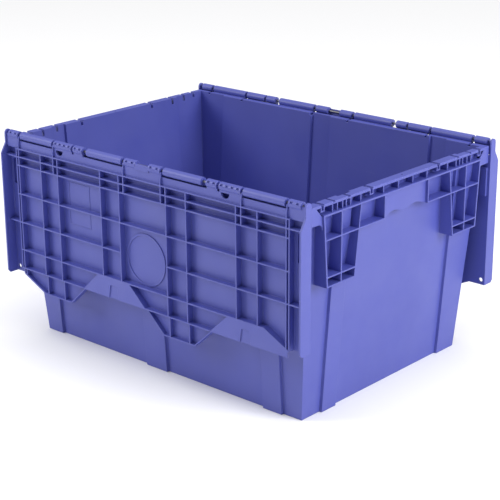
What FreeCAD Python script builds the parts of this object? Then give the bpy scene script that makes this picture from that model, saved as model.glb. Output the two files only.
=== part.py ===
import FreeCAD, Part
import math
import os

import Sketcher

# Attached-lid distribution tote: a moulded, tapered, nestable crate with two hinged lid halves.
# X runs along the long sides, -Y is the front long side, +Z is up, and the origin is the middle
# of the underside. Both lids hang open, down the outside of the long sides.
#
# Each lid is modelled flat in its own frame: X as above, Y is the distance s from the hinge axis
# and Z is the height n above the axis, with the ribs on the -n side. hang_lid then turns it.

DRIVING_SIZES = [
    # overall
    ("hinge_offset", 254.5),  # hinge axis from the middle plane
    ("hinge_height", 382.0),  # hinge axis above the underside
    ("knuckle_radius", 7.0),
    ("rod_radius", 2.0),
    ("rod_half_length", 343.0),
    ("bore_clearance", 0.06),
    ("wall", 3.0),
    ("rib_wall", 2.4),
    # tapered shell, between the pilasters: base on the outside, mouth on the inside
    ("base_half_length", 309.0),
    ("base_half_width", 213.0),
    ("mouth_half_length", 334.5),
    ("mouth_half_width", 234.6),
    ("shell_height", 377.0),
    ("floor_thickness", 4.0),
    ("pilaster_depth", 5.0),
    ("pilaster_draft", 1.0),
    ("foot_recess", 1.5),
    # rim of the shell
    ("rim_half_width", 246.5),
    ("side_ledge_top", 377.0),
    ("skirt_bottom", 352.0),
    ("end_ledge_top", 374.5),
    ("end_ledge_reach", 350.3),
    ("lug_top", 377.0),
    ("end_half_length", 354.0),
    ("cap_half_length", 350.3),
    ("shelf_top", 360.0),
    ("box_half_width", 217.0),
    ("box_bottom", 239.0),
    ("handle_half_width", 60.0),
    ("handle_bottom", 318.0),
    ("notch_half_width", 2.6),
    ("notch_bottom", 372.8),
    ("end_notch_bottom", 367.0),
    ("wall_slot_bottom", 365.0),
    # lid panel, in the lid's own frame
    ("panel_top", 7.0),
    ("panel_under", 4.0),
    ("rib_tip", -8.0),
    ("tooth_rib_tip", -4.0),
    ("flange_tip", -18.0),
    ("lid_half_length", 354.5),
    ("panel_start", 22.3),
    ("hinge_strip_start", 9.0),
    ("hinge_strip_top", -1.4),
    ("hinge_strip_under", -4.4),
    ("shoulder", 216.5),  # root of the zigzag
    ("valley", 252.5),  # edge of the lapped bands
    ("tooth_tip", 291.0),
    ("left_end", 265.0),
    ("right_end", 241.0),
    ("tooth_half_root", 116.6),
    ("tooth_half_tip", 36.0),
    ("band_half_root", 37.4),
    ("end_strip", 322.0),
]

# Lid ribs, in millimetres: distance from the hinge axis of the lengthwise ribs, and place along
# X of the crosswise ribs and of the gussets that run up to the knuckles.
RIB_A, RIB_B, RIB_C, RIB_D, RIB_E, RIB_F, RIB_G = 23.5, 38.5, 54.0, 108.0, 162.0, 215.3, 251.3
CROSS_RIBS = (212.0, 257.0, 56.0, 102.0)
TOOTH_RIBS = (-257.0, -212.0, 56.0, 102.0)
TOOTH_CENTRES = (-231.0, 77.0)
DOUBLE_RIBS = (316.5, 322.5)
GUSSETS = (44.5, 223.0, 316.5)

# Hinge line, as spans along X on the +X half: barrels moulded on the crate, knuckles on the lid.
CRATE_BARRELS = ((50.0, 136.0), (226.0, 312.0))
LID_KNUCKLES = ((15.0, 43.0), (147.0, 170.0), (175.0, 221.0), (318.5, 344.0))

# Ribs between the skirt and the wall of each long side.
SKIRT_RIBS = (-270.0, -180.0, -90.0, 0.0, 90.0, 180.0, 270.0)

# Details of the lid panel: X and s spans of the stacking blocks and of the blank label, middles of
# the half-moon holes and of the pockets in the lapped bands, and X of the seal hole.
STACK_BLOCK_X = (328.0, 349.5)
STACK_BLOCK_S = (45.0, 97.0)
STACK_BLOCK_HEIGHT = 4.5
LABEL_X = (-196.0, -142.0)
LABEL_S = (64.0, 142.0)
RING_X, RING_MIDDLE, RING_OUTER, RING_INNER = -5.0, 167.0, 47.0, 43.0
HALF_MOONS = (-208.0, 187.0)
BAND_POCKETS = (-77.0, 231.0)
SEAL_HOLE_X = -346.0

# Pilasters of the shell: spans along X on each long side and along Y on each end, and where the
# last pilaster, which runs out into the corner, starts.
SIDE_PILASTERS = ((-45.0, 5.0), (230.0, 270.0))
SIDE_CORNER_PILASTER = -271.0
END_PILASTER = (-167.0, -131.0)
END_CORNER_PILASTER = 162.0

# Ribs of the end rims, as distances from the middle of the end.
END_NOTCHES = (92.5, 216.0)
END_LUGS = ((96.5, 147.5), (153.5, 185.5), (190.5, 212.3), (219.7, 243.0))
MIDDLE_LUG_HALF = 88.5
WALL_SLOTS = (150.5, 188.0)
SHORT_RIBS = (20.0, 60.0, 120.0, 146.0, 157.0, 166.0, 179.0, 191.0)
MIDDLE_COLUMN = 172.0
INNER_COLUMN_TOP, INNER_COLUMN_BOTTOM = 124.0, 139.0
OUTER_COLUMN_BOTTOM = 208.0
BOX_SHELVES = (318.0, 256.0)

document = FreeCAD.newDocument("attached_lid_tote")
sheet = document.addObject("Spreadsheet::Sheet", "sizes")


class Size:
    """A length that carries both its spreadsheet expression and its present value."""

    def __init__(self, text, value):
        self.text = text
        self.value = value

    def _join(self, sign, other, value):
        return Size(f"({self.text} {sign} {size(other).text})", value)

    def __add__(self, other):
        return self._join("+", other, self.value + size(other).value)

    def __radd__(self, other):
        return size(other) + self

    def __sub__(self, other):
        return self._join("-", other, self.value - size(other).value)

    def __rsub__(self, other):
        return size(other) - self

    def __mul__(self, factor):
        return self._join("*", factor, self.value * factor)

    __rmul__ = __mul__

    def __neg__(self):
        return Size(f"(0 - {self.text})", -self.value)


def size(number):
    return number if isinstance(number, Size) else Size(f"({number:.9g})", number)


def fill_sheet():
    for row, (alias, value) in enumerate(DRIVING_SIZES, start=1):
        sheet.set(f"A{row}", alias)
        sheet.set(f"B{row}", f"{value:g}")
        sheet.setAlias(f"B{row}", alias)
    document.recompute()
    return {alias: Size(f"sizes.{alias}", value) for alias, value in DRIVING_SIZES}


cell = fill_sheet()


def bind(thing, path, number):
    thing.setExpression(path, size(number).text)


# ---- building blocks ----------------------------------------------------------------------


def block(name, x_span, y_span, z_span):
    """A box given by its low and high limit along each axis."""
    box = document.addObject("Part::Box", name)
    for side, axis, (low, high) in zip(("Length", "Width", "Height"), "xyz", (x_span, y_span, z_span)):
        bind(box, side, size(high) - low)
        bind(box, f"Placement.Base.{axis}", low)
    return box


def bar(name, x_span, y_middle, z_middle, radius):
    """A round bar along X."""
    cylinder = document.addObject("Part::Cylinder", name)
    cylinder.Placement = FreeCAD.Placement(
        FreeCAD.Vector(0, 0, 0), FreeCAD.Rotation(FreeCAD.Vector(0, 1, 0), 90)
    )
    bind(cylinder, "Radius", radius)
    bind(cylinder, "Height", size(x_span[1]) - x_span[0])
    bind(cylinder, "Placement.Base.x", x_span[0])
    bind(cylinder, "Placement.Base.y", y_middle)
    bind(cylinder, "Placement.Base.z", z_middle)
    return cylinder


def post(name, x_middle, y_middle, z_span, radius):
    """A round post along Z."""
    cylinder = document.addObject("Part::Cylinder", name)
    bind(cylinder, "Radius", radius)
    bind(cylinder, "Height", size(z_span[1]) - z_span[0])
    bind(cylinder, "Placement.Base.x", x_middle)
    bind(cylinder, "Placement.Base.y", y_middle)
    bind(cylinder, "Placement.Base.z", z_span[0])
    return cylinder


def outline_sketch(body, name, plane_role, outlines, offset):
    """A sketch of closed outlines whose corners are held by constraints from the origin."""
    sketch = body.newObject("Sketcher::SketchObject", name)
    plane = [feature for feature in body.Origin.OriginFeatures if feature.Role == plane_role][0]
    sketch.AttachmentSupport = [(plane, "")]
    sketch.MapMode = "FlatFace"
    bind(sketch, "AttachmentOffset.Base.z", offset)
    for corners in outlines:
        first = sketch.GeometryCount
        count = len(corners)
        vectors = [FreeCAD.Vector(size(u).value, size(v).value, 0) for u, v in corners]
        for index in range(count):
            sketch.addGeometry(Part.LineSegment(vectors[index], vectors[(index + 1) % count]), False)
        for index in range(count):
            following = first + (index + 1) % count
            sketch.addConstraint(Sketcher.Constraint("Coincident", first + index, 2, following, 1))
        for index, corner in enumerate(corners):
            for direction, place in zip(("DistanceX", "DistanceY"), corner):
                number = sketch.addConstraint(
                    Sketcher.Constraint(direction, -1, 1, first + index, 1, size(place).value)
                )
                bind(sketch, f"Constraints[{number}]", place)
    return sketch


def prism(name, plane_role, outlines, span):
    """Closed outlines on an origin plane, padded from the low to the high end of the span."""
    body = document.addObject("PartDesign::Body", name)
    low, high = (-size(span[1]), -size(span[0])) if plane_role == "XZ_Plane" else span
    sketch = outline_sketch(body, name + "_sketch", plane_role, outlines, low)
    pad = body.newObject("PartDesign::Pad", name + "_pad")
    pad.Profile = sketch
    bind(pad, "Length", size(high) - low)
    return body


def fused(name, pieces):
    union = document.addObject("Part::MultiFuse", name)
    union.Shapes = pieces
    return union


def cut_from(name, base, tool):
    cut = document.addObject("Part::Cut", name)
    cut.Base = base
    cut.Tool = tool
    cut.Refine = True
    return cut


def mirrored_span(side, low, high):
    return (low, high) if side > 0 else (-size(high), -size(low))


# ---- crate body ---------------------------------------------------------------------------


def shell_outline(half_length, half_width, depth, inset):
    """The shell's plan: a rectangle whose pilasters stand out by depth. inset narrows them."""
    draft = cell["pilaster_draft"]
    wide = half_width + depth
    long = half_length + depth

    def side(spans):
        corners = []
        for low, high in spans:
            corners += [
                (low + inset - draft, half_width),
                (low + inset, wide),
                (high - inset, wide),
                (high - inset + draft, half_width),
            ]
        return corners

    corner_start = SIDE_CORNER_PILASTER - inset
    rear = [(corner_start, wide), (corner_start + draft, half_width)] + side(SIDE_PILASTERS)
    front = [(x, -y) for x, y in rear]
    rear.reverse()
    low, high = END_PILASTER
    end_corners = [
        (half_length, low + inset - draft),
        (long, low + inset),
        (long, high - inset),
        (half_length, high - inset + draft),
        (half_length, END_CORNER_PILASTER + inset - draft),
        (long, END_CORNER_PILASTER + inset),
    ]
    right = [(half_length, -half_width)] + end_corners + [(long, half_width)]
    left = [(-long, wide)] + [(-x, y) for x, y in reversed(end_corners)] + [(-half_length, -wide)]
    return front + right + rear + left


def tapered_solid(name, feature_type, half_sizes, levels, depth, inset):
    """A loft between two plans of the shell."""
    body = document.addObject("PartDesign::Body", name)
    sketches = []
    for index, ((half_length, half_width), level) in enumerate(zip(half_sizes, levels)):
        outline = shell_outline(half_length, half_width, depth, inset)
        sketches.append(outline_sketch(body, f"{name}_plan_{index}", "XY_Plane", [outline], level))
    loft = body.newObject(feature_type, name + "_loft")
    loft.Profile = (sketches[0], [""])
    loft.Sections = [(sketches[1], [""])]
    loft.Ruled = True
    return body


def tapered_shell():
    """The outside of the walls and the space inside them, both as solids."""
    wall = cell["wall"]
    outer_base = (cell["base_half_length"], cell["base_half_width"])
    mouth = (cell["mouth_half_length"], cell["mouth_half_width"])
    outer_mouth = tuple(half + wall for half in mouth)
    inner_base = tuple(half - wall for half in outer_base)
    depth = cell["pilaster_depth"]
    outside = tapered_solid(
        "shell_outside", "PartDesign::AdditiveLoft", (outer_base, outer_mouth),
        (size(0.0), cell["shell_height"]), depth, size(0.0),
    )
    inside = tapered_solid(
        "shell_inside", "PartDesign::AdditiveLoft", (inner_base, mouth),
        (cell["floor_thickness"], cell["shell_height"] + 4.0), depth, wall * 0.8,
    )
    return outside, inside


def side_rim(side, tag):
    """Ledge, skirt and hinge barrels along one long side."""
    wall = cell["wall"]
    reach = cell["cap_half_length"]
    rim = cell["rim_half_width"]
    hinge_y = cell["hinge_offset"] * side
    pieces = [
        block(
            f"ledge_{tag}", (-reach, reach), mirrored_span(side, cell["mouth_half_width"], rim),
            (cell["side_ledge_top"] - wall, cell["side_ledge_top"]),
        ),
        block(
            f"skirt_{tag}", (-reach, reach), mirrored_span(side, rim - wall, rim),
            (cell["skirt_bottom"], cell["side_ledge_top"]),
        ),
    ]
    for number, middle in enumerate(SKIRT_RIBS):
        pieces.append(block(
            f"skirt_rib_{tag}_{number}", (middle - cell["rib_wall"] * 0.5, middle + cell["rib_wall"] * 0.5),
            mirrored_span(side, cell["mouth_half_width"] - 2.0, rim - 1.0),
            (cell["skirt_bottom"] + 2.0, cell["side_ledge_top"] - 1.0),
        ))
    for end in (-1, 1):
        for number, (low, high) in enumerate(CRATE_BARRELS):
            span = mirrored_span(end, low, high)
            name = f"{tag}_{'left' if end < 0 else 'right'}_{number}"
            pieces.append(bar(
                f"barrel_{name}", span, hinge_y, cell["hinge_height"], cell["knuckle_radius"],
            ))
            pieces.append(block(
                f"barrel_arm_{name}", span, mirrored_span(side, rim - 1.0, cell["hinge_offset"]),
                (cell["side_ledge_top"] - wall, cell["side_ledge_top"]),
            ))
    return pieces


def side_rim_cuts(side, tag):
    """Rod bore and the notches that let the lid's gussets down into the rim."""
    reach = cell["cap_half_length"]
    half = cell["notch_half_width"]
    cuts = [bar(
        f"bore_{tag}", (-reach, reach), cell["hinge_offset"] * side, cell["hinge_height"],
        cell["rod_radius"] + cell["bore_clearance"],
    )]
    for end in (-1, 1):
        for number, place in enumerate(GUSSETS):
            cuts.append(block(
                f"gusset_notch_{tag}_{'left' if end < 0 else 'right'}_{number}",
                (end * place - half, end * place + half),
                mirrored_span(side, cell["mouth_half_width"] - 2.0, cell["rim_half_width"] + 1.0),
                (cell["notch_bottom"], cell["side_ledge_top"] + 2.0),
            ))
    return cuts


def wave_outline(half_width, bottom, top):
    """The handle plate: straight above, with two waves along the lower edge."""
    steps = 32
    swing = 3.0
    lower = []
    for step in range(steps + 1):
        along = 2.0 * step / steps - 1.0
        lift = swing * (1.0 - math.cos(2.0 * math.pi * along))
        lower.append((half_width * along, bottom + lift))
    return lower + [(half_width, top), (-half_width, top)]


def end_rim(end, tag):
    """Ledge, shelf, corner boxes, handle and corner caps of one end."""
    wall = cell["wall"]
    thin = cell["rib_wall"]
    inside = cell["mouth_half_length"] - 14.0  # trimmed later by the space inside the shell
    reach = cell["end_half_length"]
    ledge_reach = cell["end_ledge_reach"]
    mouth = cell["mouth_half_length"]
    shelf = cell["shelf_top"]
    box = cell["box_half_width"]
    pieces = [
        block(
            f"end_ledge_{tag}", mirrored_span(end, mouth, ledge_reach),
            (-cell["rim_half_width"], cell["rim_half_width"]),
            (cell["end_ledge_top"] - thin, cell["end_ledge_top"]),
        ),
        block(
            f"shelf_{tag}", mirrored_span(end, inside, reach), (-box, box), (shelf - wall, shelf),
        ),
        block(
            f"lug_middle_{tag}", mirrored_span(end, mouth, ledge_reach),
            (-MIDDLE_LUG_HALF, MIDDLE_LUG_HALF),
            (cell["end_ledge_top"] - 1.0, cell["lug_top"]),
        ),
        prism(
            f"handle_{tag}", "YZ_Plane",
            [wave_outline(cell["handle_half_width"], cell["handle_bottom"], shelf - 1.0)],
            mirrored_span(end, reach - wall - 5.0, reach - 5.0),
        ),
    ]
    for side in (-1, 1):
        flank = f"{tag}_{'front' if side < 0 else 'rear'}"
        for number, (low, high) in enumerate(END_LUGS):
            pieces.append(block(
                f"lug_{flank}_{number}", mirrored_span(end, mouth, ledge_reach),
                mirrored_span(side, low, high), (cell["end_ledge_top"] - 1.0, cell["lug_top"]),
            ))
        cup_half = cell["notch_half_width"] + 2.0
        for number, place in enumerate(END_NOTCHES):
            pieces.append(block(
                f"notch_cup_{flank}_{number}", mirrored_span(end, mouth, ledge_reach),
                (side * place - cup_half, side * place + cup_half),
                (cell["end_notch_bottom"] - 2.0, cell["end_ledge_top"]),
            ))
        for number, place in enumerate(SHORT_RIBS):
            pieces.append(block(
                f"short_rib_{flank}_{number}", mirrored_span(end, mouth, ledge_reach - 0.4),
                (side * place - thin * 0.5, side * place + thin * 0.5),
                (shelf - 1.0, cell["end_ledge_top"] - 1.0),
            ))
        pieces += corner_box(end, side, flank, inside)
        pieces += corner_cap(end, side, flank)
    return pieces


def corner_box(end, side, flank, inside):
    """The open ribbed box under the shelf at one corner, and the pocket and handle rib beside it."""
    wall = cell["wall"]
    reach = cell["end_half_length"]
    shelf = cell["shelf_top"]
    bottom = cell["box_bottom"]
    box = cell["box_half_width"]
    handle = cell["handle_half_width"]
    depth = mirrored_span(end, inside, reach)

    def column(name, outer_top, outer_bottom, thickness):
        corners = [
            (outer_top * side, shelf - 1.0),
            ((outer_top - thickness) * side, shelf - 1.0),
            ((outer_bottom - thickness) * side, bottom),
            (outer_bottom * side, bottom),
        ]
        return prism(f"{name}_{flank}", "YZ_Plane", [corners], depth)

    pieces = [
        column("outer_column", box, size(OUTER_COLUMN_BOTTOM), wall),
        column("inner_column", size(INNER_COLUMN_TOP), size(INNER_COLUMN_BOTTOM), cell["rib_wall"]),
        block(
            f"middle_column_{flank}", depth,
            (side * MIDDLE_COLUMN - cell["rib_wall"] * 0.5, side * MIDDLE_COLUMN + cell["rib_wall"] * 0.5),
            (bottom, shelf - 1.0),
        ),
        block(
            f"box_shelf_top_{flank}", depth, mirrored_span(side, handle - 1.0, box - 4.5),
            (BOX_SHELVES[0] - cell["rib_wall"] * 0.5, BOX_SHELVES[0] + cell["rib_wall"] * 0.5),
        ),
        block(
            f"box_shelf_low_{flank}", depth,
            mirrored_span(side, INNER_COLUMN_BOTTOM - 4.0, OUTER_COLUMN_BOTTOM),
            (BOX_SHELVES[1] - cell["rib_wall"] * 0.5, BOX_SHELVES[1] + cell["rib_wall"] * 0.5),
        ),
        block(
            f"box_floor_{flank}", depth,
            mirrored_span(side, INNER_COLUMN_BOTTOM - 2.4, OUTER_COLUMN_BOTTOM),
            (bottom, bottom + cell["rib_wall"]),
        ),
        block(
            f"handle_rib_{flank}", depth, mirrored_span(side, handle - 1.0, handle + 1.5),
            (BOX_SHELVES[0], shelf - 1.0),
        ),
    ]
    return pieces


def corner_cap(end, side, flank):
    """The smooth cap over one corner of the rim, with a rounded lower edge."""
    wall = cell["wall"]
    rim = cell["rim_half_width"]
    box = cell["box_half_width"]
    reach = cell["cap_half_length"]
    low = cell["skirt_bottom"] - 6.0
    curve_steps = 6
    curve_radius = 10.0
    corners = [
        (rim * side, low),
        (rim * side, cell["lug_top"]),
        ((box + 18.0) * side, cell["lug_top"]),
        ((box + 1.0) * side, cell["shelf_top"] - 2.0),
        ((box - wall) * side, cell["shelf_top"] - 2.0),
        ((box - wall) * side, low - curve_radius),
    ]
    for step in range(curve_steps + 1):
        turn = 0.5 * math.pi * step / curve_steps
        corners.append((
            (box + curve_radius * (1.0 - math.cos(turn)) - 0.5) * side,
            low - curve_radius * (1.0 - math.sin(turn)),
        ))
    return [
        prism(f"cap_{flank}", "YZ_Plane", [corners], mirrored_span(end, reach - wall, reach)),
        block(
            f"cap_top_{flank}", mirrored_span(end, cell["mouth_half_length"], reach),
            mirrored_span(side, box + 18.0, rim), (cell["lug_top"] - wall, cell["lug_top"]),
        ),
        block(
            f"cap_foot_{flank}", mirrored_span(end, cell["mouth_half_length"] - 4.0, reach),
            mirrored_span(side, rim - wall, rim), (low, cell["skirt_bottom"] + 1.0),
        ),
    ]


def end_rim_cuts(end, tag):
    """Notches for the lid's long ribs, gaps between lugs, wall slots and the hole in mid-ledge."""
    half = cell["notch_half_width"]
    mouth = cell["mouth_half_length"]
    ledge_reach = cell["end_ledge_reach"]
    cuts = [post(
        f"ledge_hole_{tag}", (mouth + 7.0) * end, 0.0,
        (cell["end_ledge_top"] - 3.5, cell["lug_top"] + 1.0), 2.0,
    )]
    for side in (-1, 1):
        for number, place in enumerate(END_NOTCHES):
            cuts.append(block(
                f"end_notch_{tag}_{'front' if side < 0 else 'rear'}_{number}",
                mirrored_span(end, mouth - 6.0, ledge_reach + 5.0),
                (side * place - half, side * place + half),
                (cell["end_notch_bottom"], cell["lug_top"] + 2.0),
            ))
        gap_starts = [MIDDLE_LUG_HALF] + [high for _, high in END_LUGS]
        for number, (start, (stop, _)) in enumerate(zip(gap_starts, END_LUGS)):
            cuts.append(block(
                f"lug_gap_{tag}_{'front' if side < 0 else 'rear'}_{number}",
                mirrored_span(end, mouth - 6.0, mouth + 12.0), mirrored_span(side, start, stop),
                (cell["end_ledge_top"], cell["lug_top"] + 2.0),
            ))
        for number, place in enumerate(WALL_SLOTS):
            cuts.append(block(
                f"wall_slot_{tag}_{'front' if side < 0 else 'rear'}_{number}",
                mirrored_span(end, mouth - 6.0, mouth + 10.0),
                (side * place - half, side * place + half),
                (cell["wall_slot_bottom"], cell["lug_top"] + 2.0),
            ))
    return cuts


def crate_body():
    outside, inside = tapered_shell()
    solids = [outside]
    cuts = [inside, block(
        "foot_recess_cut", (-cell["base_half_length"] + 22.0, cell["base_half_length"] - 22.0),
        (-cell["base_half_width"] + 22.0, cell["base_half_width"] - 22.0), (-1.0, cell["foot_recess"]),
    )]
    for side, tag in ((-1, "front"), (1, "rear")):
        solids += side_rim(side, tag)
        cuts += side_rim_cuts(side, tag)
    for end, tag in ((-1, "left"), (1, "right")):
        solids += end_rim(end, tag)
        cuts += end_rim_cuts(end, tag)
    body = cut_from("crate_body", fused("crate_solids", solids), fused("crate_cuts", cuts))
    body.Label = "crate_body"
    return body


# ---- lids ---------------------------------------------------------------------------------


def tooth_corners(centre):
    """One tooth of the zigzag from its left root to its right root."""
    return [
        (centre - cell["tooth_half_root"], cell["shoulder"]),
        (centre - cell["tooth_half_tip"], cell["tooth_tip"]),
        (centre + cell["tooth_half_tip"], cell["tooth_tip"]),
        (centre + cell["tooth_half_root"], cell["shoulder"]),
    ]


def tooth_narrowing():
    """How much each side of a tooth moves in for each millimetre away from its root."""
    inward = cell["tooth_half_root"].value - cell["tooth_half_tip"].value
    return inward / (cell["tooth_tip"].value - cell["shoulder"].value)


def last_band_root():
    """X of the far root of the band beside the right end."""
    return TOOTH_CENTRES[1] + cell["tooth_half_root"] + cell["band_half_root"] * 2.0


def panel_outline():
    half = cell["lid_half_length"]
    strip = cell["end_strip"]
    return (
        [(-half, cell["panel_start"]), (-half, cell["left_end"]), (-strip, cell["left_end"])]
        + tooth_corners(TOOTH_CENTRES[0])[1:]
        + tooth_corners(TOOTH_CENTRES[1])
        + [(last_band_root(), cell["shoulder"]), (strip, cell["right_end"] + 2.0)]
        + [(half, cell["right_end"]), (half, cell["panel_start"])]
    )


def lapped_bands(tag):
    """The two bands between the teeth, at rib-tip level, which the other lid's teeth lie on."""
    shoulder = cell["shoulder"] - 1.0
    spread = (cell["valley"] - cell["shoulder"]) * tooth_narrowing()
    first_left = TOOTH_CENTRES[0] + cell["tooth_half_root"]
    first_right = TOOTH_CENTRES[1] - cell["tooth_half_root"]
    second_left = TOOTH_CENTRES[1] + cell["tooth_half_root"]
    edge = cell["valley"]
    strip = cell["end_strip"] - 2.0
    outlines = [
        [
            (first_left, shoulder), (first_right, shoulder),
            (first_right + spread, edge), (first_left - spread, edge),
        ],
        [
            (second_left, shoulder), (last_band_root(), shoulder), (strip, cell["right_end"]),
            (strip, edge), (second_left - spread, edge),
        ],
    ]
    level = (cell["rib_tip"], cell["rib_tip"] + cell["wall"])
    return prism(f"bands_{tag}", "XY_Plane", outlines, level)


def edge_walls(tag):
    """Walls under the zigzag edge: full depth up to the valley line, shallower on the teeth."""
    thick = 3.2
    corners = [tooth_corners(centre) for centre in TOOTH_CENTRES]
    spread = (cell["valley"] - cell["shoulder"]) * tooth_narrowing()
    deep = []
    shallow = []
    for number, (left_root, left_tip, right_tip, right_root) in enumerate(corners):
        sides = [(right_root, right_tip, -1)]
        if number > 0:
            sides.append((left_root, left_tip, 1))
        for root, tip, inward in sides:
            waist = (root[0] + spread * inward, cell["valley"])
            root_inner, waist_inner, tip_inner = [
                (corner[0] + thick * inward, corner[1]) for corner in (root, waist, tip)
            ]
            deep.append([root, waist, waist_inner, root_inner])
            shallow.append([waist, tip, tip_inner, waist_inner])
    left_tip = corners[0][1]
    strip_corner = (-cell["end_strip"], cell["left_end"])
    shallow.append([
        strip_corner, left_tip,
        (left_tip[0], left_tip[1] - thick), (strip_corner[0], strip_corner[1] - thick),
    ])
    band_end = (last_band_root(), cell["shoulder"])
    strip_end = (cell["end_strip"], cell["right_end"] + 2.0)
    deep.append([
        band_end, strip_end, (strip_end[0], strip_end[1] - thick), (band_end[0], band_end[1] - thick),
    ])
    top = cell["panel_under"] + 1.0
    walls = [
        prism(f"deep_wall_{tag}_{number}", "XY_Plane", [corner_list], (cell["rib_tip"], top))
        for number, corner_list in enumerate(deep)
    ]
    walls += [
        prism(f"shallow_wall_{tag}_{number}", "XY_Plane", [corner_list], (cell["tooth_rib_tip"], top))
        for number, corner_list in enumerate(shallow)
    ]
    for number, centre in enumerate(TOOTH_CENTRES):
        walls.append(block(
            f"tip_wall_{tag}_{number}", (centre - cell["tooth_half_tip"], centre + cell["tooth_half_tip"]),
            (cell["tooth_tip"] - cell["rib_wall"], cell["tooth_tip"]), (cell["tooth_rib_tip"], top),
        ))
    return walls


def lid_ribs(tag):
    """The grid of ribs under the panel."""
    half = cell["rib_wall"] * 0.5
    top = cell["panel_under"] + 1.0
    deep = (cell["rib_tip"], top)
    shallow = (cell["tooth_rib_tip"], top)
    between = cell["end_strip"] + 2.0
    across = cell["lid_half_length"] - 1.5
    waist = cell["tooth_half_root"] - (cell["valley"] - cell["shoulder"]) * tooth_narrowing() - 2.0
    ribs = []

    def lengthwise(name, x_span, place):
        ribs.append(block(f"{name}_{tag}", x_span, (place - half, place + half), deep))

    lengthwise("rib_a", (-between, between), RIB_A)
    lengthwise("rib_b", (-across, across), RIB_B)
    lengthwise("rib_c", (-between, between), RIB_C)
    lengthwise("rib_d", (-between, between), RIB_D)
    lengthwise("rib_e_left", (-across, -CROSS_RIBS[2]), RIB_E)
    lengthwise("rib_e_right", (CROSS_RIBS[2], across), RIB_E)
    lengthwise("rib_f", (-between, last_band_root()), RIB_F)
    lengthwise("rib_g_left", (-between, TOOTH_CENTRES[0] + waist), RIB_G)
    lengthwise("rib_g_right", (TOOTH_CENTRES[1] - waist, TOOTH_CENTRES[1] + waist), RIB_G)
    for side in (-1, 1):
        for number, place in enumerate(CROSS_RIBS):
            ribs.append(block(
                f"cross_rib_{tag}_{'left' if side < 0 else 'right'}_{number}",
                (side * place - half, side * place + half), (RIB_A, RIB_F), deep,
            ))
        for number, place in enumerate(DOUBLE_RIBS):
            ribs.append(block(
                f"double_rib_{tag}_{'left' if side < 0 else 'right'}_{number}",
                (side * place - half, side * place + half),
                (RIB_A, cell["valley"] if side < 0 else cell["right_end"] - 2.0), deep,
            ))
    for number, place in enumerate(DOUBLE_RIBS):
        ribs.append(block(
            f"double_end_{tag}_{number}", (-place - half, -place + half),
            (cell["valley"] - 1.0, cell["left_end"] - 1.0), shallow,
        ))
    for number, place in enumerate(TOOTH_RIBS):
        ribs.append(block(
            f"tooth_rib_{tag}_{number}", (place - half, place + half), (RIB_F, RIB_G), deep,
        ))
        ribs.append(block(
            f"tooth_end_{tag}_{number}", (place - half, place + half),
            (RIB_G, cell["tooth_tip"] - 1.0), shallow,
        ))
    return ribs


def gussets(tag):
    """Ribs that run from the lid's third rib up beside the knuckles."""
    half = cell["rib_wall"] * 0.5
    top = cell["panel_under"] + 1.0
    pieces = []
    for side in (-1, 1):
        for number, place in enumerate(GUSSETS):
            corners = [
                (1.0, cell["hinge_strip_top"]), (1.0, -6.0), (9.0, -6.5), (15.0, cell["rib_tip"]),
                (RIB_C, cell["rib_tip"]), (RIB_C, top), (cell["panel_start"], top),
                (cell["panel_start"], cell["hinge_strip_top"]),
            ]
            pieces.append(prism(
                f"gusset_{tag}_{'left' if side < 0 else 'right'}_{number}", "YZ_Plane", [corners],
                (side * place - half, side * place + half),
            ))
    return pieces


def knuckles(tag):
    """Hinge knuckles and the strip that carries them, which is set back from the panel."""
    level = (cell["hinge_strip_under"], cell["hinge_strip_top"])
    pieces = []
    for side in (-1, 1):
        for number, (low, high) in enumerate(LID_KNUCKLES):
            span = mirrored_span(side, low, high)
            name = f"{tag}_{'left' if side < 0 else 'right'}_{number}"
            pieces.append(bar(f"knuckle_{name}", span, 0.0, 0.0, cell["knuckle_radius"]))
            pieces.append(block(
                f"knuckle_strip_{name}", span, (0.0, cell["hinge_strip_start"] + 1.0), level,
            ))
    middle = LID_KNUCKLES[0][0]
    pieces += [
        block(
            f"hinge_strip_{tag}", (-cell["lid_half_length"] + 1.0, cell["lid_half_length"] - 1.0),
            (cell["hinge_strip_start"], cell["panel_start"] + 1.0), level,
        ),
        block(
            f"middle_strip_{tag}", (-middle - 1.0, middle + 1.0),
            (5.0, cell["hinge_strip_start"] + 1.0), level,
        ),
        block(f"rod_cover_{tag}", (-middle - 1.0, middle + 1.0), (-3.0, 7.0), (-6.5, -3.4)),
    ]
    return pieces


def end_flanges(tag):
    """Upstanding walls at the two ends, cut back beside the hinge."""
    wall = cell["wall"]
    half = cell["lid_half_length"]
    radius = cell["knuckle_radius"]
    tip = cell["flange_tip"]
    pieces = []
    for side, end_name, far in ((-1, "left", cell["left_end"]), (1, "right", cell["right_end"])):
        corners = [
            (-radius * math.cos(math.radians(turn)), radius * math.sin(math.radians(turn)))
            for turn in (90, 60, 30, 0, -30, -60, -90)
        ]
        corners += [
            (17.0, -radius), (35.0, tip), (far - 5.0, tip), (far, tip + 4.0), (far, cell["panel_top"]),
        ]
        pieces.append(prism(
            f"flange_{tag}_{end_name}", "YZ_Plane", [corners], mirrored_span(side, half - wall, half),
        ))
        pieces.append(block(
            f"flange_strip_{tag}_{end_name}", mirrored_span(side, 343.0, half - 1.0),
            (0.0, cell["hinge_strip_start"] + 1.0), (cell["hinge_strip_under"], cell["hinge_strip_top"]),
        ))
    return pieces


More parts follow.
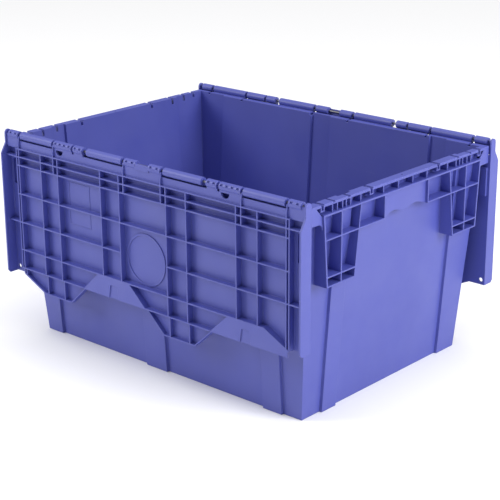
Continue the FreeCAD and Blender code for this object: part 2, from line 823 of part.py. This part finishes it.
def raised_details(tag):
    """Stacking blocks, the plain ring and the outline of a blank label."""
    pieces = [
        block(
            f"stack_block_{tag}_{'left' if side < 0 else 'right'}", mirrored_span(side, *STACK_BLOCK_X),
            STACK_BLOCK_S, (cell["panel_under"], cell["panel_top"] + STACK_BLOCK_HEIGHT),
        )
        for side in (-1, 1)
    ]
    under = cell["panel_under"]
    ring = document.addObject("Part::Cut", f"ring_{tag}")
    ring.Base = post(f"ring_outer_{tag}", RING_X, RING_MIDDLE, (under - 1.5, under + 1.0), RING_OUTER)
    ring.Tool = post(f"ring_inner_{tag}", RING_X, RING_MIDDLE, (under - 2.0, under + 2.0), RING_INNER)
    pieces.append(ring)
    line = 1.2
    left, right = LABEL_X
    near, far = LABEL_S
    frame_lines = [
        ((left, right), (near, near + line)),
        ((left, right), (far - line, far)),
        ((left, left + line), (near, far)),
        ((right - line, right), (near, far)),
    ]
    for number, (x_span, s_span) in enumerate(frame_lines):
        pieces.append(block(f"label_frame_{tag}_{number}", x_span, s_span, (under - 0.6, under + 1.0)))
    return pieces


def lid_cuts(tag):
    """Rod bore, seal hole, block pockets, half-moon holes and the small slots over the knuckles."""
    through = (cell["panel_under"] - 2.0, cell["panel_top"] + 2.0)
    strip_through = (cell["hinge_strip_under"] - 1.0, cell["hinge_strip_top"] + 1.0)
    cuts = [
        bar(
            f"lid_bore_{tag}", (-cell["lid_half_length"] + 5.0, cell["lid_half_length"] - 5.0), 0.0, 0.0,
            cell["rod_radius"] + cell["bore_clearance"],
        ),
        post(f"seal_hole_{tag}", SEAL_HOLE_X, cell["left_end"] - 9.0, through, 4.0),
    ]
    for side in (-1, 1):
        name = f"{tag}_{'left' if side < 0 else 'right'}"
        x_low, x_high = STACK_BLOCK_X
        s_low, s_high = STACK_BLOCK_S
        cuts.append(block(
            f"block_pocket_{name}", mirrored_span(side, x_low + 2.5, x_high - 2.5),
            (s_low + 2.5, s_high - 2.5),
            (cell["panel_under"] - 1.0, cell["panel_top"] + STACK_BLOCK_HEIGHT - 2.5),
        ))
        for number, (low, high) in enumerate(LID_KNUCKLES):
            slots = 2 if high - low < 30.0 else 4
            pitch = (high - low) / slots
            for index in range(slots):
                middle = side * (low + pitch * (index + 0.5))
                cuts.append(block(
                    f"knuckle_slot_{name}_{number}_{index}", (middle - 2.5, middle + 2.5),
                    (-4.8, -1.8), (-cell["knuckle_radius"] - 1.0, -4.4),
                ))
    for number, middle in enumerate(HALF_MOONS):
        moon = document.addObject("Part::Common", f"half_moon_{tag}_{number}")
        moon.Base = post(f"moon_round_{tag}_{number}", middle, 9.0, strip_through, 9.0)
        moon.Tool = block(
            f"moon_flat_{tag}_{number}", (middle - 12.0, middle + 12.0), (9.0, 20.0), strip_through,
        )
        cuts.append(moon)
    pocket_low, pocket_high = cell["valley"] - 24.0, cell["valley"] + 1.0
    for number, middle in enumerate(BAND_POCKETS):
        corners = [
            (middle - 8.0, pocket_low), (middle + 8.0, pocket_low),
            (middle + 12.0, pocket_high), (middle - 12.0, pocket_high),
        ]
        cuts.append(prism(
            f"band_pocket_{tag}_{number}", "XY_Plane", [corners],
            (cell["rib_tip"] - 1.0, cell["rib_tip"] + 1.6),
        ))
    return cuts


def hang_lid(lid, turn):
    """Turn the flat lid to hang on its hinge; turn is 0 for the front and 180 for the rear."""
    about_z = FreeCAD.Rotation(FreeCAD.Vector(0, 0, 1), turn)
    fold_down = FreeCAD.Rotation(FreeCAD.Vector(1, 0, 0), -90)
    lid.Placement = FreeCAD.Placement(FreeCAD.Vector(0, 0, 0), about_z.multiply(fold_down))
    bind(lid, "Placement.Base.y", cell["hinge_offset"] * (-1 if turn == 0 else 1))
    bind(lid, "Placement.Base.z", cell["hinge_height"])


def lid(name, turn):
    tag = name
    panel = prism(f"panel_{tag}", "XY_Plane", [panel_outline()], (cell["panel_under"], cell["panel_top"]))
    solids = [panel, lapped_bands(tag)] + edge_walls(tag) + lid_ribs(tag) + gussets(tag)
    solids += knuckles(tag) + end_flanges(tag) + raised_details(tag)
    piece = cut_from(name, fused(f"solids_{tag}", solids), fused(f"cuts_{tag}", lid_cuts(tag)))
    piece.Label = name
    hang_lid(piece, turn)
    return piece


# ---- hinge rods ---------------------------------------------------------------------------


def hinge_rod(name, side):
    half = cell["rod_half_length"]
    rod = bar(name, (-half, half), cell["hinge_offset"] * side, cell["hinge_height"], cell["rod_radius"])
    rod.Label = name
    return rod


# ---- assembly and export ------------------------------------------------------------------

sub_parts = [
    crate_body(),
    lid("lid_front", 0),
    lid("lid_rear", 180),
    hinge_rod("hinge_rod_front", -1),
    hinge_rod("hinge_rod_rear", 1),
]
document.recompute()

for item in document.Objects:
    if "Invalid" in item.State or "Error" in item.State:
        raise RuntimeError(f"{item.Name} failed: {item.State}")
os.makedirs("parts", exist_ok=True)
for item in sub_parts:
    if item.Shape.isNull() or not item.Shape.isValid():
        raise RuntimeError(f"{item.Label} has no valid shape")
    box = item.Shape.BoundBox
    print(
        item.Label, len(item.Shape.Solids), "solid(s)", round(item.Shape.Volume / 1000.0, 1), "cm3",
        [round(limit, 1) for limit in (box.XMin, box.XMax, box.YMin, box.YMax, box.ZMin, box.ZMax)],
    )
    item.Shape.exportStep(f"parts/{item.Label}.step")
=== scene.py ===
import math

import bpy
from mathutils import Matrix, Vector


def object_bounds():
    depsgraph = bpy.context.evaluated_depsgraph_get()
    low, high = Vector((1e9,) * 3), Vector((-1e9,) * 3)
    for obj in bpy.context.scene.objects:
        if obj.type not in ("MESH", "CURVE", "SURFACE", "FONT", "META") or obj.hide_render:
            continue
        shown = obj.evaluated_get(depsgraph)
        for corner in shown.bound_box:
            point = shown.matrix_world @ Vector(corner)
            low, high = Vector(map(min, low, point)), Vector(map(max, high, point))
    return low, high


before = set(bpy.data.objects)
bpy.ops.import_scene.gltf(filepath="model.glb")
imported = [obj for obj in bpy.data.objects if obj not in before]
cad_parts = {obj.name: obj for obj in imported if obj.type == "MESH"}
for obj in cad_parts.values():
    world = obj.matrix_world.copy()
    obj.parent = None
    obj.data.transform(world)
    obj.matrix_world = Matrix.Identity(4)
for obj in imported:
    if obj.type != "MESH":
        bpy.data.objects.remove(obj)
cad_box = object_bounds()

# Looks of an attached-lid storage tote: one indigo moulded plastic for the crate and both lids,
# grey steel for the hinge rods. Lengths are in metres, angles in degrees, lamp powers in watts.

PLASTIC_NODES = ("crate_body", "lid_front", "lid_rear")
STEEL_NODES = ("hinge_rod_front", "hinge_rod_rear")

INDIGO = (0.068, 0.083, 0.390, 1.0)
INDIGO_DEEP = (0.059, 0.072, 0.355, 1.0)
INDIGO_WORN = (0.24, 0.25, 0.58, 1.0)
STEEL = (0.20, 0.20, 0.22, 1.0)
FLOOR_WHITE = (0.95, 0.95, 0.96, 1.0)
SURROUND_WHITE = (1.0, 1.0, 1.0, 1.0)

NONE_TO_ALL = (0.0, 1.0)
PLASTIC_ROUGHNESS = (0.44, 0.58)
PLASTIC_SPECULAR = 0.75
SCUFF_STRENGTH = (0.0, 0.30)
EDGE_RADIUS = 0.0011
EDGE_SAMPLES = 6
GRAIN_DEPTH = 0.0001
SINK_DEPTH = 0.004
STEEL_ROUGHNESS = (0.38, 0.56)
WIRE_MARK_DEPTH = 0.00005
FLOOR_ROUGHNESS = 0.85

FLOOR_SIZE = 14.0
FLOOR_GAP = 0.0005
SURROUND_STRENGTH = 0.32
AIM_POINT = (0.0, 0.0, 0.2)
SUN_STRENGTH = 1.9
SUN_SPREAD = 70.0

CAMERA_AZIMUTH = 41.84
CAMERA_ELEVATION = 18.93
CAMERA_ROLL = -0.31
CAMERA_DISTANCE = 2.6153
CAMERA_SHIFT_RIGHT = 0.0057
CAMERA_SHIFT_DOWN = 0.0290
LENS_MM = 103.13
SENSOR_MM = 36.0


# ---- shader nodes -------------------------------------------------------------------------


def new_material(name):
    material = bpy.data.materials.new(name)
    material.use_nodes = True
    tree = material.node_tree
    return material, tree, tree.nodes["Principled BSDF"]


def noise(tree, coordinates, scale, detail, roughness=0.55, stretch=(1.0, 1.0, 1.0)):
    """A noise texture. A stretch below 1 draws it out along that axis."""
    mapping = tree.nodes.new("ShaderNodeMapping")
    mapping.inputs["Scale"].default_value = stretch
    tree.links.new(coordinates, mapping.inputs["Vector"])
    texture = tree.nodes.new("ShaderNodeTexNoise")
    texture.inputs["Scale"].default_value = scale
    texture.inputs["Detail"].default_value = detail
    texture.inputs["Roughness"].default_value = roughness
    tree.links.new(mapping.outputs["Vector"], texture.inputs["Vector"])
    return texture.outputs["Fac"]


def remap(tree, value, source, result):
    """Stretch the source range of a value onto the result range, and hold it there."""
    node = tree.nodes.new("ShaderNodeMapRange")
    node.inputs["From Min"].default_value = source[0]
    node.inputs["From Max"].default_value = source[1]
    node.inputs["To Min"].default_value = result[0]
    node.inputs["To Max"].default_value = result[1]
    tree.links.new(value, node.inputs["Value"])
    return node.outputs["Result"]


def arithmetic(tree, operation, first, second):
    """A math node on two sockets. A sum is held between 0 and 1."""
    node = tree.nodes.new("ShaderNodeMath")
    node.operation = operation
    node.use_clamp = operation == "ADD"
    tree.links.new(first, node.inputs[0])
    tree.links.new(second, node.inputs[1])
    return node.outputs["Value"]


def mix_colour(tree, factor, first, second):
    """Mix two colours, each a tuple or a socket."""
    node = tree.nodes.new("ShaderNodeMix")
    node.data_type = "RGBA"
    tree.links.new(factor, node.inputs["Factor"])
    for socket, value in ((node.inputs["A"], first), (node.inputs["B"], second)):
        if isinstance(value, tuple):
            socket.default_value = value
        else:
            tree.links.new(value, socket)
    return node.outputs["Result"]


def bump(tree, height, distance, strength, normal=None):
    node = tree.nodes.new("ShaderNodeBump")
    node.inputs["Distance"].default_value = distance
    node.inputs["Strength"].default_value = strength
    tree.links.new(height, node.inputs["Height"])
    if normal is not None:
        tree.links.new(normal, node.inputs["Normal"])
    return node.outputs["Normal"]


# ---- materials ----------------------------------------------------------------------------


def plastic_scuffs(tree, here):
    """How worn each spot is: thin scratches, kept to cloudy patches."""
    scratches = noise(tree, here, scale=55.0, detail=8.0, roughness=0.7, stretch=(0.25, 0.25, 1.6))
    clouds = noise(tree, here, scale=9.0, detail=5.0, roughness=0.6)
    return arithmetic(
        tree,
        "MULTIPLY",
        remap(tree, scratches, source=(0.66, 0.74), result=SCUFF_STRENGTH),
        remap(tree, clouds, source=(0.52, 0.72), result=NONE_TO_ALL),
    )


def plastic_surface(tree, here):
    """The plastic's normal: edges that look rounded, fine mould grain and slight sink marks."""
    edges = tree.nodes.new("ShaderNodeBevel")
    edges.samples = EDGE_SAMPLES
    edges.inputs["Radius"].default_value = EDGE_RADIUS
    grain = noise(tree, here, scale=1400.0, detail=2.0)
    sink = noise(tree, here, scale=11.0, detail=2.0)
    grained = bump(tree, grain, GRAIN_DEPTH, strength=0.25, normal=edges.outputs["Normal"])
    return bump(tree, sink, SINK_DEPTH, strength=0.06, normal=grained)


def moulded_plastic():
    """Satin polypropylene with flow marks, uneven gloss and scuffs."""
    material, tree, shader = new_material("moulded_indigo_plastic")
    here = tree.nodes.new("ShaderNodeTexCoord").outputs["Object"]
    flow = noise(tree, here, scale=5.0, detail=3.0, stretch=(1.0, 1.0, 0.35))
    depth = remap(tree, flow, source=(0.35, 0.65), result=NONE_TO_ALL)
    base = mix_colour(tree, depth, INDIGO, INDIGO_DEEP)
    scuffs = plastic_scuffs(tree, here)
    tree.links.new(mix_colour(tree, scuffs, base, INDIGO_WORN), shader.inputs["Base Color"])
    gloss = noise(tree, here, scale=14.0, detail=4.0)
    roughness = remap(tree, gloss, source=(0.3, 0.7), result=PLASTIC_ROUGHNESS)
    tree.links.new(arithmetic(tree, "ADD", roughness, scuffs), shader.inputs["Roughness"])
    shader.inputs["Specular IOR Level"].default_value = PLASTIC_SPECULAR
    tree.links.new(plastic_surface(tree, here), shader.inputs["Normal"])
    return material


def drawn_steel():
    """Dull drawn wire with fine marks along its length."""
    material, tree, shader = new_material("drawn_steel")
    here = tree.nodes.new("ShaderNodeTexCoord").outputs["Object"]
    marks = noise(tree, here, scale=900.0, detail=4.0, stretch=(0.02, 1.0, 1.0))
    roughness = remap(tree, marks, source=(0.3, 0.7), result=STEEL_ROUGHNESS)
    shader.inputs["Base Color"].default_value = STEEL
    shader.inputs["Metallic"].default_value = 1.0
    tree.links.new(roughness, shader.inputs["Roughness"])
    tree.links.new(bump(tree, marks, WIRE_MARK_DEPTH, strength=0.3), shader.inputs["Normal"])
    return material


def floor_material():
    material, _, shader = new_material("studio_floor")
    shader.inputs["Base Color"].default_value = FLOOR_WHITE
    shader.inputs["Roughness"].default_value = FLOOR_ROUGHNESS
    return material


def dress(node_names, material):
    """Give CAD nodes their material."""
    for name in node_names:
        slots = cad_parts[name].data.materials
        slots.clear()
        slots.append(material)


# ---- studio -------------------------------------------------------------------------------


def pale_floor():
    place = (0.0, 0.0, cad_box[0][2] - FLOOR_GAP)
    bpy.ops.mesh.primitive_plane_add(size=FLOOR_SIZE, location=place)
    floor = bpy.context.object
    floor.name = "floor"
    floor.data.materials.append(floor_material())


def white_surround():
    world = bpy.data.worlds.new("surround")
    bpy.context.scene.world = world
    world.use_nodes = True
    surround = world.node_tree.nodes["Background"]
    surround.inputs["Color"].default_value = SURROUND_WHITE
    surround.inputs["Strength"].default_value = SURROUND_STRENGTH


def new_lamp(name, kind, energy):
    data = bpy.data.lights.new(name, kind)
    data.energy = energy
    lamp = bpy.data.objects.new(name, data)
    bpy.context.scene.collection.objects.link(lamp)
    return lamp


def soft_light(name, place, width, power):
    """A square area lamp that faces the crate."""
    lamp = new_lamp(name, "AREA", power)
    lamp.data.shape = "SQUARE"
    lamp.data.size = width
    lamp.location = place
    lamp.rotation_euler = (Vector(AIM_POINT) - Vector(place)).to_track_quat("-Z", "Y").to_euler()


def soft_sun():
    """Wide light from straight above."""
    lamp = new_lamp("overhead", "SUN", SUN_STRENGTH)
    lamp.data.angle = math.radians(SUN_SPREAD)


def photo_camera():
    """Long-lens view from the front right, a little above the rim."""
    azimuth = math.radians(CAMERA_AZIMUTH)
    elevation = math.radians(CAMERA_ELEVATION)
    roll = math.radians(CAMERA_ROLL)
    back = Vector((
        math.sin(azimuth) * math.cos(elevation),
        -math.cos(azimuth) * math.cos(elevation),
        math.sin(elevation),
    ))
    side = (-back).cross(Vector((0.0, 0.0, 1.0))).normalized()
    up = side.cross(-back)
    right = side * math.cos(roll) + up * math.sin(roll)
    above = up * math.cos(roll) - side * math.sin(roll)
    shift = right * CAMERA_SHIFT_RIGHT - above * CAMERA_SHIFT_DOWN
    place = Vector(AIM_POINT) + shift + back * CAMERA_DISTANCE
    data = bpy.data.cameras.new("camera")
    data.sensor_width = SENSOR_MM
    data.lens = LENS_MM
    camera = bpy.data.objects.new("camera", data)
    bpy.context.scene.collection.objects.link(camera)
    turn = Matrix((right, above, back)).transposed()
    camera.matrix_world = Matrix.Translation(place) @ turn.to_4x4()
    bpy.context.scene.camera = camera


# ---- the scene ----------------------------------------------------------------------------


dress(PLASTIC_NODES, moulded_plastic())
dress(STEEL_NODES, drawn_steel())
pale_floor()
white_surround()
soft_light("front_left", place=(-2.0, -2.2, 1.9), width=1.4, power=50.0)
soft_light("right", place=(3.0, 0.45, 1.7), width=1.6, power=88.0)
soft_sun()
photo_camera()
bpy.context.scene.view_settings.view_transform = "Standard"
